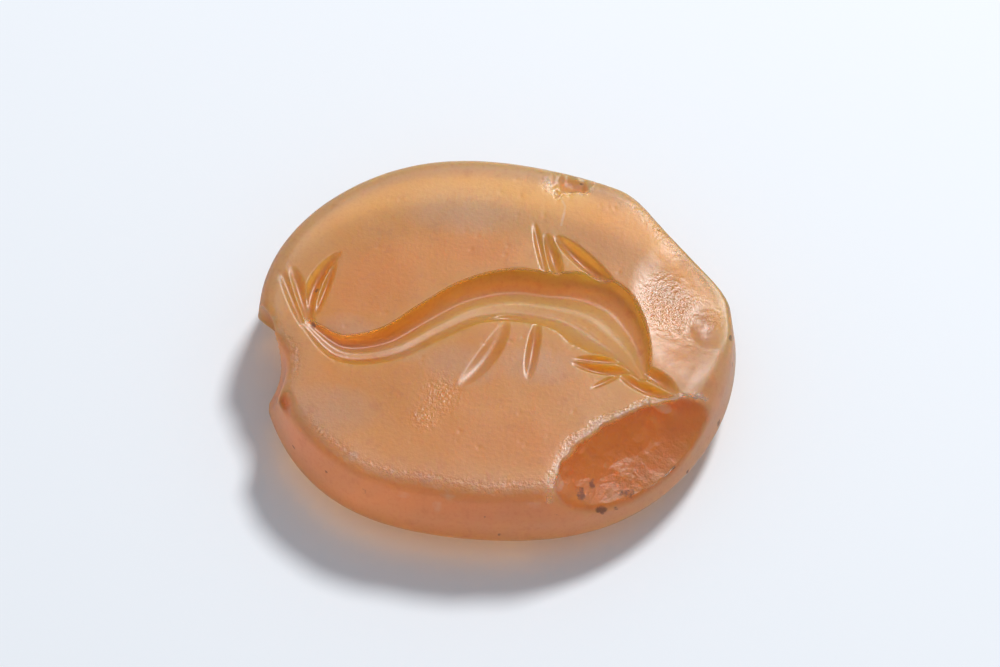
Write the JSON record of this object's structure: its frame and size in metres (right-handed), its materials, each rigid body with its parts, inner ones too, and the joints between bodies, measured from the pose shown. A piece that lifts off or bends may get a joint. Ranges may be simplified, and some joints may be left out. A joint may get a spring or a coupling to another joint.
{
  "type": "engraved gemstone",
  "caption": "Thin oval stone of translucent orange carnelian, flat face engraved with a leaping dolphin, bevelled flat back, worn rim with flakes and a notch",
  "frame": {"origin": "middle of the flat back, at the centre of the oval", "axes": "+X runs along the oval towards the dolphin's beak, +Y towards its back fin, +Z out of the engraved face"},
  "size_m": [0.0161, 0.0136, 0.0034],
  "materials": {
    "carnelian": "worn polish, translucent orange, rough and soiled in the breaks"
  },
  "bodies": {
    "root": {"gem": "carnelian"}
  },
  "joints": []
}
